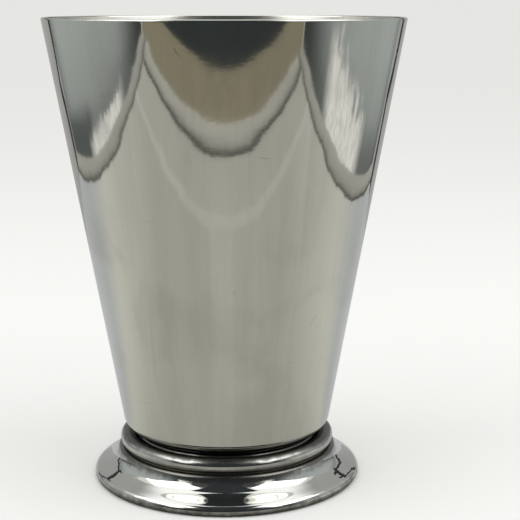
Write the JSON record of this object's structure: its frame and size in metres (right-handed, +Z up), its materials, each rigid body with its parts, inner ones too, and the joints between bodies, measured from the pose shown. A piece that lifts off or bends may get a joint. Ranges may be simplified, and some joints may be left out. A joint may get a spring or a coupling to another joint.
{
  "type": "metal cocktail cup",
  "caption": "Polished metal cocktail cup: a straight-tapered open tumbler on a low flared foot, with a round bead ring where cup and foot meet.",
  "frame": {"origin": "on the cup's axis, in the plane that the foot stands on", "axes": "+Z up along the cup's axis towards the rim; +Y points away from the camera of the picture and +X to its right"},
  "size_m": [0.0844, 0.0844, 0.11],
  "materials": {
    "cup_steel": "polished",
    "foot_steel": "polished",
    "braze_alloy": "satin"
  },
  "bodies": {
    "root": {"cup_body": "cup_steel", "foot_pressing": "foot_steel", "bead_ring": "foot_steel", "bead_braze": "braze_alloy", "cup_braze": "braze_alloy"}
  },
  "joints": []
}
